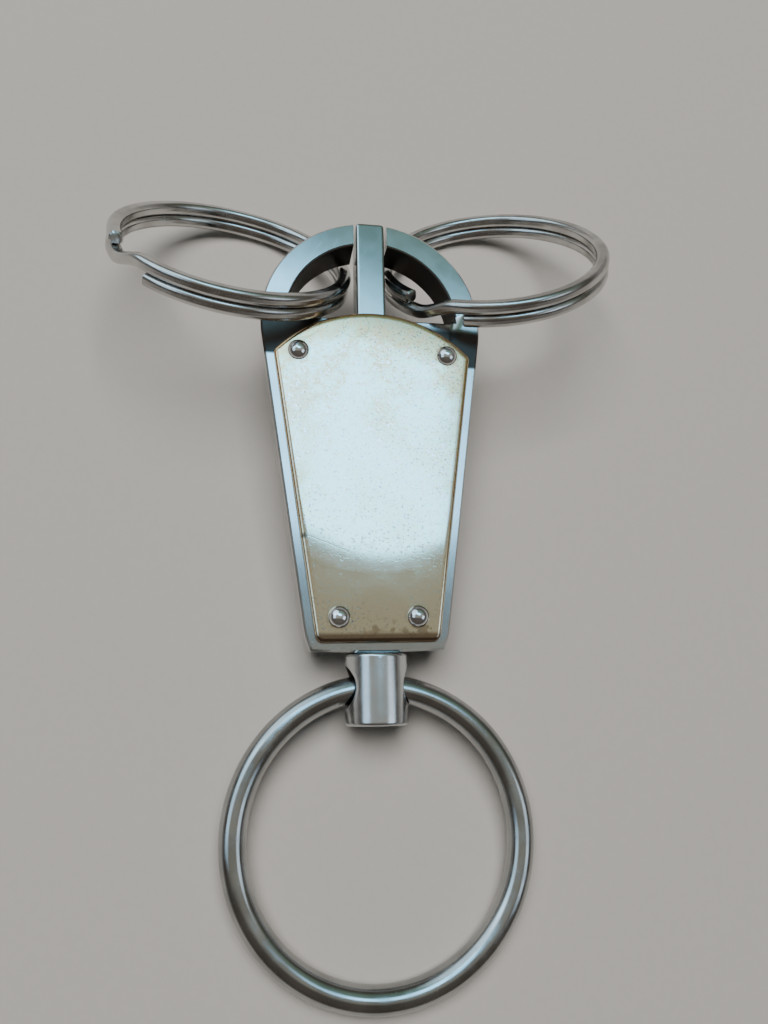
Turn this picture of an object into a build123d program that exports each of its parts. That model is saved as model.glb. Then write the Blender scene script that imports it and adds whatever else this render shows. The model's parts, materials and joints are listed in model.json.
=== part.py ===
from build123d import *
import math
import os

# A steel key ring with a sliding gate. A flat tapered body ends in a D-shaped
# arch. A square gate bar closes the slot at the top of the arch, and a spring
# inside the body holds it shut. Pulling the large ring draws the bar down and
# opens the slot, so that the two split rings can be slipped off. All sizes are
# in millimetres. The pieces are made with the body level, its front face at
# z = 0, its arch centred on the origin and its length along -Y. At the end
# they are all leaned back together, as the key ring lies on a table.

# ---- driving sizes: body ----
body_thickness = 4.6
arch_outer_radius = 12.55
arch_width = 2.75
side_taper = 8.2          # degrees each side leans in towards the foot
body_length = 36.8        # from the arch's centre to the foot's corners
foot_bulge = 0.2          # how far the foot's edge bows out
corner_relief = 2.4       # length over which each side turns in at the foot
corner_turn = 0.38        # how far it turns in there
edge_bevel = 0.22
window_floor = 0.4        # lower edge of the D-shaped window
window_corner = 0.8

# ---- driving sizes: gate, rod and spring ----
bar_width = 3.3
bar_depth = 3.7
bar_tail = 9.0            # how far the bar reaches below the arch's centre
bar_bevel = 0.25
bar_rise = 0.1            # how far the bar's crown stands proud of the arch
slot_clearance = 0.3
guide_clearance = 0.15
face_clearance = 0.05
gate_travel = 6.0         # how far the bar draws down from the closed slot
rod_diameter = 2.0
rod_grip = 4.0            # length of rod held in the bar
running_clearance = 0.05
spring_wire = 0.4
spring_gap = 0.1          # between the rod and the inside of the coils
spring_turns = 12
bush_wall = 0.45
bush_length = 5.5

# ---- driving sizes: plate and rivets ----
plate_thickness = 0.8
plate_inset = 1.0
plate_crown_radius = 15.0
plate_crown_rise = 0.85   # crown of the plate above the arch's centre
plate_foot_inset = 0.76
plate_corner = 0.9
plate_edge_round = 0.35
rivet_shank = 1.4
rivet_head_diameter = 2.3
rivet_head_height = 0.8
rivet_inset = 3.73        # from the body's sides, square to Y
upper_rivet_drop = 4.06   # below the arch's centre
lower_rivet_rise = 3.4    # above the foot

# ---- driving sizes: eye barrel and large ring ----
barrel_diameter = 6.7
barrel_length = 7.35
barrel_bevel = 0.35
barrel_gap = 0.05
eye_diameter = 4.1
eye_mouth_bevel = 0.3
eye_drop = 3.4            # from the barrel's top to the eye's axis
head_diameter = 3.0
head_thickness = 0.5
neck_wall = 1.2           # barrel wall that the rod's head bears on
ring_wire = 2.75
ring_diameter = 32.0      # outside
ring_pull = 0.1           # the wire rests this far below the eye's axis

# ---- driving sizes: split rings ----
split_mean_radius = 13.3
split_wire_width = 1.6    # across the turn
split_wire_height = 1.45  # along the ring's axis
split_wire_round = 0.55
split_turn_gap = 0.06
split_gap_angle = 30.0    # between the two cut ends, where the wire steps over
split_step_margin = 3.0
split_end_bevel = 0.18
split_bar_gap = 0.3
corner_ease = 0.1         # bevels and round wire let the strands lie this much closer
left_bank = 9.5           # degrees the ring's outer side is raised
right_bank = 11.5
left_reach = 9.2          # the ring's centre past the arch's centre
right_reach = 10.4
left_step_angle = 200.0   # where the wire steps over, round from the body's +X
right_step_angle = 214.0
split_pivot_angle = 48.0  # from the arch's crown to each split ring's pivot

# ---- sizes that follow ----
arch_inner_radius = arch_outer_radius - arch_width
arch_middle_radius = arch_outer_radius - arch_width / 2
mid_z = -body_thickness / 2
taper = math.radians(side_taper)
slot_width = bar_width + 2 * slot_clearance
channel_width = bar_width + 2 * guide_clearance
channel_depth = bar_depth + face_clearance + guide_clearance
bush_bore = rod_diameter + 2 * running_clearance
bush_diameter = bush_bore + 2 * bush_wall
channel_end = -body_length + bush_length
barrel_top = -body_length - foot_bulge - barrel_gap
eye_y = barrel_top - eye_drop
ring_mean_radius = (ring_diameter - ring_wire) / 2


def half_width(y, inset=0.0):
    """Half the body's width at height y, less an inset square to its side."""
    at_centre = (arch_outer_radius - inset) / math.cos(taper)
    return at_centre + y * math.tan(taper)


def extruded(face, top, depth):
    """A face drawn on XY, carried down from z = top by a depth."""
    return extrude(Pos(0, 0, top) * face, amount=-depth)


def cylinder_y(radius, y_from, y_to, z=mid_z):
    """A round bar along Y, on the body's middle line."""
    length = abs(y_to - y_from)
    return Pos(0, (y_from + y_to) / 2, z) * Rot(90, 0, 0) * Cylinder(radius, length)


# ---- body frame ----
def body_outline():
    """The arch, its tangent sides, the turned-in corners and the bowed foot."""
    r = arch_outer_radius
    shoulder = Vector(r * math.cos(taper), -r * math.sin(taper))
    hip_y = -body_length + corner_relief
    hip = Vector(half_width(hip_y), hip_y)
    toe = Vector(half_width(-body_length) - corner_turn, -body_length)
    along_side = Vector(-math.sin(taper), -math.cos(taper))
    side = Line(shoulder, hip)
    relief = TangentArc(hip, toe, tangent=along_side)
    foot = ThreePointArc(toe, (0, -body_length - foot_bulge), (-toe.X, toe.Y))
    half = Curve() + [side, relief]
    arch = ThreePointArc(shoulder, (0, r), (-shoulder.X, shoulder.Y))
    return make_face(half + [foot, arch, mirror(half, about=Plane.YZ)])


def window():
    """The D-shaped window under the arch."""
    r = arch_inner_radius
    below = Pos(0, window_floor - r) * Rectangle(4 * r, 2 * r)
    opening = Circle(r) - below
    corners = opening.vertices().group_by(Axis.Y)[0]
    return fillet(corners, window_corner)


def body_frame():
    blank = extruded(body_outline() - window(), 0, body_thickness)
    faces = blank.faces().filter_by(Axis.Z)
    blank = chamfer(faces.edges(), edge_bevel)
    slot = Pos(0, arch_outer_radius, mid_z)
    slot *= Box(slot_width, arch_outer_radius, 2 * body_thickness)
    blank -= slot
    channel_length = window_floor + 1 - channel_end
    channel = Pos(0, channel_end + channel_length / 2, -channel_depth / 2)
    channel *= Box(channel_width, channel_length, channel_depth)
    blank -= channel
    blank -= cylinder_y(bush_diameter / 2, channel_end + 1, -body_length - 1)
    for x, y in rivet_places():
        blank -= Pos(x, y, mid_z) * Cylinder(rivet_shank / 2, 2 * body_thickness)
    return blank


# ---- plate and rivets ----
def rivet_places():
    """The upper two and the lower two, each pair from left to right."""
    places = []
    for y in (-upper_rivet_drop, lower_rivet_rise - body_length):
        x = half_width(y) - rivet_inset
        places += [(-x, y), (x, y)]
    return places


def front_plate():
    """A thin tapered plate with an arched crown and a rolled-over edge."""
    foot = -body_length + plate_foot_inset
    crown_centre = plate_crown_rise - plate_crown_radius
    slope = math.tan(taper)
    level = half_width(crown_centre, plate_inset)
    # The shoulder is where the side, level + slope * rise, meets the crown.
    reach = plate_crown_radius * math.hypot(1, slope)
    root = math.sqrt(reach**2 - level**2)
    rise = (root - level * slope) / (1 + slope**2)
    shoulder = (level + slope * rise, crown_centre + rise)
    toe = (half_width(foot, plate_inset), foot)
    crown = ThreePointArc(shoulder, (0, plate_crown_rise), (-shoulder[0], shoulder[1]))
    sides = Polyline(shoulder, toe, (-toe[0], toe[1]), (-shoulder[0], shoulder[1]))
    blank = make_face(crown + sides)
    blank = fillet(blank.vertices(), plate_corner)
    plate = extrude(blank, amount=plate_thickness)
    plate = fillet(plate.faces().sort_by(Axis.Z)[-1].edges(), plate_edge_round)
    for x, y in rivet_places():
        plate -= Pos(x, y) * Cylinder(rivet_shank / 2, 4 * plate_thickness)
    return plate


def rivet(x, y):
    """A domed head on a shank that is finished flush with the body's back."""
    reach = rivet_head_diameter / 2
    dome_radius = (reach**2 + rivet_head_height**2) / (2 * rivet_head_height)
    crown = plate_thickness + rivet_head_height
    dome = Pos(0, 0, crown - dome_radius) * Sphere(dome_radius)
    above = Pos(0, 0, plate_thickness + dome_radius)
    head = dome & above * Box(4 * reach, 4 * reach, 2 * dome_radius)
    shank_length = plate_thickness + body_thickness
    shank = Pos(0, 0, plate_thickness - shank_length / 2)
    return Pos(x, y) * (head + shank * Cylinder(rivet_shank / 2, shank_length))


# ---- gate, rod, spring and bush ----
def gate_bar():
    """A square bar whose crown follows the arch, with a bore for the rod."""
    crown = arch_outer_radius + bar_rise
    length = crown + bar_tail
    middle = Pos(0, (crown - bar_tail) / 2, -face_clearance - bar_depth / 2)
    bar = middle * Box(bar_width, length, bar_depth)
    bar = bar & Cylinder(crown, 4 * bar_depth)
    bar = chamfer(bar.edges().filter_by(Axis.Y), bar_bevel)
    bore = cylinder_y(rod_diameter / 2, -bar_tail - 1, -bar_tail + rod_grip)
    return bar - bore


def pull_rod():
    """The rod from the bar to the barrel, with its head closed over inside."""
    head_top = barrel_top - neck_wall - running_clearance
    rod = cylinder_y(rod_diameter / 2, -bar_tail + rod_grip, head_top)
    head_foot = head_top - head_thickness
    return rod + cylinder_y(head_diameter / 2, head_top, head_foot)


def return_spring():
    """An open coil round the rod, from the bar's tail to the bush."""
    radius = rod_diameter / 2 + spring_gap + spring_wire / 2
    length = -bar_tail - channel_end - spring_wire - 2 * running_clearance
    path = Helix(pitch=length / spring_turns, height=length, radius=radius)
    start = Plane(path @ 0, z_dir=path % 0)
    coil = sweep(start * Circle(spring_wire / 2), path=path)
    foot = channel_end + spring_wire / 2 + running_clearance
    return Pos(0, foot, mid_z) * Rot(-90, 0, 0) * coil


def end_bush():
    outer = cylinder_y(bush_diameter / 2, channel_end, -body_length)
    return outer - cylinder_y(bush_bore / 2, channel_end + 1, -body_length - 1)


# ---- eye barrel and large ring ----
def eye_barrel():
    """A turned barrel with a cross eye, held by the rod's head."""
    foot = barrel_top - barrel_length
    barrel = cylinder_y(barrel_diameter / 2, barrel_top, foot)
    barrel = chamfer(barrel.edges().filter_by(GeomType.CIRCLE), barrel_bevel)
    across = Pos(0, eye_y, mid_z) * Rot(0, 90, 0)
    barrel -= across * Cylinder(eye_diameter / 2, 2 * barrel_diameter)
    eye_radius = eye_diameter / 2
    for side in (-1, 1):
        mouth = across * Rot(0, 90 - 90 * side, 0) * Pos(0, 0, barrel_diameter / 2)
        flare = Cone(eye_radius, eye_radius + 2 * eye_mouth_bevel, 2 * eye_mouth_bevel)
        barrel -= mouth * flare
    neck_bore = rod_diameter / 2 + running_clearance
    barrel -= cylinder_y(neck_bore, barrel_top + 1, eye_y)
    head_bore = head_diameter / 2 + 2 * running_clearance
    barrel -= cylinder_y(head_bore, barrel_top - neck_wall, eye_y)
    return barrel


def large_ring():
    """A closed ring of round wire, lying in the plane of its hinge axis."""
    return Torus(ring_mean_radius, ring_wire / 2)


# ---- split rings ----
def wire_section(level):
    """The drawn wire's rounded section, square to the ring's turn."""
    outline = RectangleRounded(split_wire_width, split_wire_height, split_wire_round)
    return Plane.XZ * Pos(split_mean_radius, level) * outline


def split_ring(step_angle):
    """Two turns of wire that change places at a step between the cut ends."""
    half_pitch = (split_wire_height + split_turn_gap) / 2
    step = split_gap_angle - 2 * split_step_margin
    turn = 360 - split_gap_angle + split_step_margin
    lower = revolve(wire_section(-half_pitch), Axis.Z, turn)
    upper = revolve(wire_section(half_pitch), Axis.Z, turn)
    lower = Rot(0, 0, split_gap_angle) * lower
    upper = Rot(0, 0, split_gap_angle - split_step_margin) * upper
    sections = []
    stations = 9
    for i in range(stations):
        share = i / (stations - 1)
        rise = share * share * (3 - 2 * share)
        angle = split_step_margin + share * step
        level = half_pitch * (2 * rise - 1)
        sections.append(Rot(0, 0, angle) * wire_section(level))
    ring = lower + loft(sections) + upper
    cut_ends = [f for f in ring.faces().filter_by(GeomType.PLANE) if is_cut_end(f)]
    for end in cut_ends:
        ring = chamfer(end.edges(), split_end_bevel)
    return Rot(0, 0, step_angle) * ring


def is_cut_end(face):
    """Whether a flat face stands square to the turn, as a cut end does."""
    centre = face.center()
    along = Vector(-centre.Y, centre.X, 0).normalized()
    return abs(face.normal_at(centre).dot(along)) > 0.99


def split_ring_seat(side, bank_angle, reach_y):
    """Where a split ring lies: over the window's floor and under the arch.

    The ring's two turns make a flat slab. Its lower outer edge lies over the
    front edge of the window's floor, and its upper inner edge lies under the
    back edge of the arch. A few rounds settle where those two places are and
    how steeply the slab leans between them.
    """
    bank = math.radians(bank_angle)
    half_slab = split_wire_height + split_turn_gap / 2 - corner_ease
    mean_to_bar = split_bar_gap + split_wire_width / 2 + bar_width / 2
    centre_x = mean_to_bar + split_mean_radius * math.cos(bank)
    edge = (split_wire_width - split_wire_round) / 2
    outer = math.hypot(split_mean_radius + edge, half_slab)
    inner = math.hypot(split_mean_radius - edge, half_slab)
    centre_z = mid_z
    far_y = reach_y
    for _ in range(12):
        floor_run = math.hypot(reach_y - window_floor, centre_z)
        near_x = centre_x - math.sqrt(outer**2 - floor_run**2)
        back_run = math.hypot(reach_y - far_y, centre_z + body_thickness)
        far_x = centre_x - math.sqrt(inner**2 - back_run**2)
        far_y = math.sqrt(arch_inner_radius**2 - far_x**2)
        span = far_y - window_floor
        lift = 2 * half_slab - math.sin(bank) * (near_x - far_x)
        reach = math.hypot(span, body_thickness) * math.cos(bank)
        lean = math.atan2(body_thickness, span) + math.asin(lift / reach)
        across = math.sin(bank)
        along = math.cos(bank) * math.sin(lean)
        up = math.cos(bank) * math.cos(lean)
        near_level = along * window_floor - across * near_x
        far_level = along * far_y - across * far_x - up * body_thickness
        middle = (near_level + far_level) / 2
        centre_z = (middle + across * centre_x - along * reach_y) / up
    place = Pos(side * centre_x, reach_y, centre_z)
    return place * Rot(-math.degrees(lean), -side * bank_angle, 0)


def split_ring_pivot(side):
    """The point of the arch's middle line about which a split ring swings."""
    angle = math.radians(split_pivot_angle)
    x = side * arch_middle_radius * math.sin(angle)
    return Vector(x, arch_middle_radius * math.cos(angle), mid_z)


# ---- how the key ring lies on a table ----
def split_ring_low(seat, lean):
    """Height of a split ring's lowest point once the body leans back."""
    up = Vector(0, math.sin(lean), math.cos(lean))
    flat = abs(up.dot(seat.z_dir))
    steep = math.sqrt(1 - flat**2)
    half_width_in = split_wire_width / 2 - split_wire_round
    half_height_in = split_wire_height + split_turn_gap / 2 - split_wire_round
    reach = (split_mean_radius + half_width_in) * steep + half_height_in * flat
    return up.dot(seat.origin) - reach - split_wire_round


def barrel_low(lean):
    """Height of the barrel's lowest point once the body leans back."""
    foot_y = barrel_top - barrel_length + barrel_bevel
    foot_z = mid_z - barrel_diameter / 2
    return foot_y * math.sin(lean) + foot_z * math.cos(lean)


def rest_lean():
    """Degrees the body leans back, resting on its barrel and split rings."""
    low, high = 0.0, math.radians(30)
    for _ in range(40):
        lean = (low + high) / 2
        lows = [split_ring_low(Plane(seat), lean) for seat in (left_seat, right_seat)]
        sunk = min(lows) < barrel_low(lean)
        low, high = (lean, high) if sunk else (low, lean)
    return math.degrees(lean)


def large_ring_dip(lean):
    """Degrees the large ring dips from the body's plane to reach the table."""
    back = math.radians(lean)
    table = barrel_low(back)
    eye_height = eye_axis.Y * math.sin(back) + eye_axis.Z * math.cos(back) - table
    slope = (eye_height - ring_wire / 2) / (2 * ring_mean_radius)
    return math.degrees(math.asin(slope)) - lean


eye_axis = Vector(0, eye_y - ring_pull, mid_z)
left_seat = split_ring_seat(-1, left_bank, left_reach)
right_seat = split_ring_seat(1, right_bank, right_reach)
lean_back = rest_lean()
dip = Pos(eye_axis) * Rot(large_ring_dip(lean_back), 0, 0)
pieces = {
    "body_frame": body_frame(),
    "front_plate": front_plate(),
    "gate_bar": gate_bar(),
    "pull_rod": pull_rod(),
    "return_spring": return_spring(),
    "end_bush": end_bush(),
    "eye_barrel": eye_barrel(),
    "large_ring": dip * Pos(0, -ring_mean_radius, 0) * large_ring(),
    "left_split_ring": left_seat * split_ring(left_step_angle),
    "right_split_ring": right_seat * split_ring(right_step_angle),
}
rivet_names = ("upper_left", "upper_right", "lower_left", "lower_right")
for name, (x, y) in zip(rivet_names, rivet_places()):
    pieces["rivet_" + name] = rivet(x, y)

leaned = {name: Rot(lean_back, 0, 0) * piece for name, piece in pieces.items()}
box = Compound(list(leaned.values())).bounding_box()
to_table = Pos(-box.center().X, -box.center().Y, -box.min.Z)
rest = to_table * Rot(lean_back, 0, 0)

os.makedirs("parts", exist_ok=True)
for name, piece in leaned.items():
    export_step(to_table * piece, os.path.join("parts", name + ".step"))


# ---- joint places at rest, for whoever assembles the pieces ----
def placed(point):
    return (rest * Pos(point)).position


print("size", box.size)
print("lean back", round(lean_back, 3))
print("split ring seats", left_seat, right_seat)
print("gate axis", (placed((0, -1, 0)) - placed((0, 0, 0))).normalized())
print("gate travel", gate_travel)
print("eye axis point", placed(eye_axis))
for side, name in ((-1, "left"), (1, "right")):
    print(name, "split ring pivot", placed(split_ring_pivot(side)))
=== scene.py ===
# %% [markdown]
# # A steel key ring, dressed for its picture
# The solid model gives every piece its size and place. This script makes the
# round pieces truly smooth, gives each metal its own finish, and sets a pale
# floor, soft light and a camera. Blender works in metres and so does the
# solid model, so nothing has to be fitted by hand.

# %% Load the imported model
import bmesh
import bpy
import json
import math
import numpy as np
from mathutils import Matrix, Vector

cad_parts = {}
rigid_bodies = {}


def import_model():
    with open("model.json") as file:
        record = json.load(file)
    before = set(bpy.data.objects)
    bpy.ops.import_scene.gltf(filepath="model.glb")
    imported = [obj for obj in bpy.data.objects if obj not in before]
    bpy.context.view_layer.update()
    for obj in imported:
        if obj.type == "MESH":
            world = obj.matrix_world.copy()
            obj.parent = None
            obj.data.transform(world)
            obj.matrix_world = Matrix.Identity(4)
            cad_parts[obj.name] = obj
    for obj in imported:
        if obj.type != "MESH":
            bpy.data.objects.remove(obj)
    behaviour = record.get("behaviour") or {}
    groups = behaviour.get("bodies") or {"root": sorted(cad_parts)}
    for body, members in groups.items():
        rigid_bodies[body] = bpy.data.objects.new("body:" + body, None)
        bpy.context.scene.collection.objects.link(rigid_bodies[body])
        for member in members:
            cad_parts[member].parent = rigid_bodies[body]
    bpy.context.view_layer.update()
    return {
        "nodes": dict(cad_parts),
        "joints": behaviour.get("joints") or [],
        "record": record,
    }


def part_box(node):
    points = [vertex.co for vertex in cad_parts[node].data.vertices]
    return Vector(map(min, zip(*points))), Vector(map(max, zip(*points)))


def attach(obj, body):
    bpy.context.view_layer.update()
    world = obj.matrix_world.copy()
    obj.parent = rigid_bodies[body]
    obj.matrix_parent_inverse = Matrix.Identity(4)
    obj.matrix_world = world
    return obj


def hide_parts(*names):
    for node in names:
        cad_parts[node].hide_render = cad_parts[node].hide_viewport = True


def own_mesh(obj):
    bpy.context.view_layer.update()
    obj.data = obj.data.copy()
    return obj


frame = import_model()
nodes = frame["nodes"]

# %% [markdown]
# ## The body's own level space
# The key ring lies leaned back: its barrel and its split rings touch the
# table, and the arch is held up. Shapes are much easier to think about when
# the body is level, with its front face at height 0 and the middle of its
# arch at the origin. So every surface below is worked out in that level
# space, in millimetres, and one function then leans it back and puts it where
# the solid model has it. The lean is read from the gate's sliding direction.
# One point is known in both spaces, the left split ring's hinge, and that
# gives the shift.

# %% Level space to model space
mm_in_metre = 1000
joints = {joint["name"]: joint for joint in frame["joints"]}
slide = joints["gate_slide"]["axis"]
lean = math.atan2(-slide[2], -slide[1])
cos_lean, sin_lean = math.cos(lean), math.sin(lean)
tilt = np.array([[1, 0, 0], [0, cos_lean, -sin_lean], [0, sin_lean, cos_lean]])
pivot_level = np.array([-8.30464, 7.47753, -2.3])
pivot_model = np.array(joints["left_split_ring_swing"]["pos_m"])
shift = pivot_model - tilt @ pivot_level / mm_in_metre


def to_model(points):
    """Level millimetres to model metres: turned about X by the lean, then moved."""
    return np.asarray(points) / mm_in_metre @ tilt.T + shift


def to_level(points):
    """Model metres to level millimetres: the same two steps backwards."""
    return (np.asarray(points) - shift) @ tilt * mm_in_metre


def level_box(node):
    """A solid's lowest and highest corners along the level axes."""
    mesh = nodes[node].data
    flat = np.empty(len(mesh.vertices) * 3)
    mesh.vertices.foreach_get("co", flat)
    level = to_level(flat.reshape(-1, 3))
    return level.min(0), level.max(0)


print("lean", round(math.degrees(lean), 3), "shift", shift.round(5))
for name in ("body_frame", "front_plate", "eye_barrel"):
    print(name, level_box(name)[0].round(3), level_box(name)[1].round(3))

# %% [markdown]
# ## The camera
# It looks down from close by, a little from the left, so nearer things look
# clearly larger. A close camera and a fairly wide lens give that strong
# perspective. Its three directions are given in level space and turned with
# the body. Depth of field stays off.

# %% Camera
cam_data = bpy.data.cameras.new("camera")
cam_data.sensor_width = 36
cam_data.lens = 28.125
cam_data.clip_start = 0.005
cam_data.clip_end = 10
camera = bpy.data.objects.new("camera", cam_data)
bpy.context.scene.collection.objects.link(camera)
right = np.array([0.98765502, -0.02219958, 0.15506366])
up = np.array([-0.01262685, 0.97540287, 0.22006773])
back = np.array([-0.15613495, -0.21930896, 0.96308123])
camera_level = [-12.58, -41.01, 83.08]
pose = np.eye(4)
pose[:3, :3] = tilt @ np.stack([right, up, back], axis=1)
pose[:3, 3] = to_model(camera_level)
camera.matrix_world = Matrix(pose.tolist())
bpy.context.scene.camera = camera
print("camera at", pose[:3, 3].round(4))

# %% [markdown]
# ## The floor
# One large flat face, just under the key ring's lowest point.

# %% A grid of points and its faces
def grid_faces(rows, columns):
    """Quads between neighbouring points of a grid that is counted row by row."""
    row, column = np.meshgrid(np.arange(rows - 1), np.arange(columns - 1), indexing="ij")
    first = (row * columns + column).ravel()
    return np.stack([first, first + 1, first + columns + 1, first + columns], axis=1)


def plain_mesh(name, points, faces):
    """A mesh object in the scene, from points in metres and corner numbers."""
    mesh = bpy.data.meshes.new(name)
    mesh.from_pydata(points.tolist(), [], faces.tolist())
    piece = bpy.data.objects.new(name, mesh)
    bpy.context.scene.collection.objects.link(piece)
    return piece


# %% Floor
floor_half = 1.5
floor_height = -0.00002
floor_x, floor_y = np.meshgrid([-floor_half, floor_half], [-floor_half, floor_half])
floor_points = np.stack([floor_x, floor_y, np.full((2, 2), floor_height)], axis=-1)
floor = plain_mesh("floor", floor_points.reshape(-1, 3), grid_faces(2, 2))
print("floor", 2 * floor_half, "m a side")

# %% [markdown]
# ## Closed skins
# Every new piece is one or more sheets, each a function of two parameters
# worked out on a grid. Where two sheets meet, or a sheet meets itself, their
# edge points fall on the same places. Merging those doubles closes the skin,
# and then Blender can tell which way is out. Smooth shading hides the facets,
# and only creases sharper than a set angle stay sharp.

# %% From sheets to a closed piece
same_place = 1e-7    # metres: points nearer than this become one
no_length = 1e-8     # metres: an edge shorter than this goes


def closed_piece(name, sheets, crease=40.0, marks=None):
    """Sheets of level points, each rows x columns x 3, merged into one skin.

    A mark is a number or vector for each point, kept as a mesh attribute
    that a material can read.
    """
    points = np.concatenate([sheet.reshape(-1, 3) for sheet in sheets])
    faces, start = [], 0
    for sheet in sheets:
        faces.append(grid_faces(sheet.shape[0], sheet.shape[1]) + start)
        start += sheet.shape[0] * sheet.shape[1]
    piece = plain_mesh(name, to_model(points), np.concatenate(faces))
    for mark, values in (marks or {}).items():
        kind, field = ("FLOAT", "value") if values.ndim == 1 else ("FLOAT_VECTOR", "vector")
        layer = piece.data.attributes.new(mark, kind, "POINT")
        layer.data.foreach_set(field, values.astype(np.float32).ravel())
    join_and_smooth(piece, crease)
    return piece


def join_and_smooth(piece, crease, flat=None):
    """Merge doubles, face outwards, shade smooth but for creases over an angle.

    With a small angle for flat, triangles that lie that level with each other
    become one face, so that no sliver among them can ripple the shading.
    """
    shell = bmesh.new()
    shell.from_mesh(piece.data)
    bmesh.ops.remove_doubles(shell, verts=shell.verts, dist=same_place)
    bmesh.ops.dissolve_degenerate(shell, edges=shell.edges, dist=no_length)
    if flat:
        bmesh.ops.dissolve_limit(shell, angle_limit=math.radians(flat),
                                 verts=shell.verts, edges=shell.edges)
    bmesh.ops.recalc_face_normals(shell, faces=shell.faces)
    loose = sum(not edge.is_manifold for edge in shell.edges)
    shell.to_mesh(piece.data)
    shell.free()
    piece.data.polygons.foreach_set("use_smooth", np.ones(len(piece.data.polygons), bool))
    piece.data.set_sharp_from_angle(angle=math.radians(crease))
    print(piece.name, len(piece.data.polygons), "faces, open edges:", loose)


def stand_in(piece, node, body):
    """The piece is shown in place of a solid, and moves with its body."""
    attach(piece, body)
    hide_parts(node)
    return piece


# %% [markdown]
# ## The large ring
# A closed ring of round wire hangs from the barrel's eye and slopes down to
# the table. The surface is a torus: a small circle carried round a large one.
# Its centre is the middle of the solid's box, and its far point is the hinge,
# which gives the slope. A fine grid keeps the long highlights on the wire
# free of facets.

# %% Large ring
ring_wire_radius = 1.375
ring_mean_radius = 14.625
ring_steps, wire_sides = 361, 49


def ring_of_wire(centre, toward, mean_radius, wire_radius, steps, sides):
    """Torus: (mean radius + wire radius cos b) outwards, wire radius sin b along its axis."""
    across = np.array([1.0, 0.0, 0.0])
    toward = toward / np.linalg.norm(toward)
    axis = np.cross(across, toward)
    a = np.linspace(0, 2 * np.pi, steps)[:, None, None]
    b = np.linspace(0, 2 * np.pi, sides)[None, :, None]
    outward = np.cos(a) * across + np.sin(a) * toward
    reach = mean_radius + wire_radius * np.cos(b)
    return centre + reach * outward + wire_radius * np.sin(b) * axis


ring_low, ring_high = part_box("large_ring")
ring_centre = to_level(np.array((ring_low + ring_high) / 2))
ring_hinge = to_level(np.array(joints["large_ring_swing"]["pos_m"]))
ring_sheet = ring_of_wire(ring_centre, ring_hinge - ring_centre, ring_mean_radius,
                          ring_wire_radius, ring_steps, wire_sides)
large_ring = closed_piece("large_ring_wire", [ring_sheet])
stand_in(large_ring, "large_ring", "pull_ring")
print("centre to hinge", np.linalg.norm(ring_hinge - ring_centre).round(4), "mm")

# %% [markdown]
# ## The split rings
# Each is nearly two turns of slightly flattened wire. The turns lie one on
# the other, and where the cut ends are, the wire steps over from the lower
# turn to the upper one. So this is a profile carried along a path: a rounded
# rectangle, turned about the ring's axis while its level rises smoothly in
# the step. The rounded corners leave the dark groove between the turns. At a
# cut end the profile shrinks a little, which gives the end its bevel.

# %% Rounded profile and wire path
def rounded_profile(width, height, corner, samples, hold=0.03):
    """Corner centre plus corner radius times (cos, sin), a quarter turn at each corner.

    One more point, a little way along the flat on either side of each corner,
    keeps the flat's shading from bending towards the corner.
    """
    quarter = np.concatenate([[0], np.linspace(0, np.pi / 2, samples), [np.pi / 2]])
    along = np.concatenate([[-hold], np.zeros(samples), [hold]])
    angle = np.concatenate([quarter + k * np.pi / 2 for k in range(4)])
    signs = np.array([[1, 1], [-1, 1], [-1, -1], [1, -1]])
    corner_centre = [width / 2 - corner, height / 2 - corner]
    centres = np.repeat(signs, samples + 2, axis=0) * corner_centre
    radial = np.stack([np.cos(angle), np.sin(angle)], axis=1)
    tangent = np.stack([-np.sin(angle), np.cos(angle)], axis=1)
    points = centres + corner * radial + np.tile(along, 4)[:, None] * tangent
    return np.concatenate([points, points[:1]])


def smooth_rise(share):
    """0 to 1 with a level start and end: 3 s^2 - 2 s^3."""
    share = np.clip(share, 0, 1)
    return share * share * (3 - 2 * share)


# %% Split ring
split_mean_radius = 13.3
split_width, split_height, split_corner = 1.6, 1.45, 0.55
turn_gap = 0.06
half_pitch = (split_height + turn_gap) / 2
gap_angle, step_margin, end_bevel = 30.0, 3.0, 0.18
one_turn = 360.0
wire_steps, corner_samples = 461, 10


def split_ring_sheet(step_angle):
    """The profile at (mean radius + u) outwards and (level + v) up, for each turned angle."""
    trim = math.degrees(end_bevel / split_mean_radius)
    start, end = gap_angle, 2 * one_turn
    run = np.linspace(start + trim, end - trim, wire_steps)
    angle = np.concatenate([[start, start], run, [end, end]])
    share = (angle - one_turn - step_margin) / (gap_angle - 2 * step_margin)
    level = half_pitch * (2 * smooth_rise(share) - 1)
    full = rounded_profile(split_width, split_height, split_corner, corner_samples)
    end_scale = [1 - 2 * end_bevel / split_width, 1 - 2 * end_bevel / split_height]
    size = np.ones((len(angle), 1, 2))
    size[[1, -2]] = end_scale
    size[[0, -1]] = 0
    u, v = np.moveaxis(full * size, -1, 0)
    turned = np.radians(angle + step_angle)[:, None]
    out = split_mean_radius + u
    return np.stack([out * np.cos(turned), out * np.sin(turned), level[:, None] + v], axis=-1)


def seated(points, centre, slope, bank):
    """Turned about Y by the bank, then about X by the slope, then moved to its centre."""
    b, a = np.radians(bank), np.radians(-slope)
    about_y = np.array([[np.cos(b), 0, np.sin(b)], [0, 1, 0], [-np.sin(b), 0, np.cos(b)]])
    about_x = np.array([[1, 0, 0], [0, np.cos(a), -np.sin(a)], [0, np.sin(a), np.cos(a)]])
    return points @ (about_x @ about_y).T + centre


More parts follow.
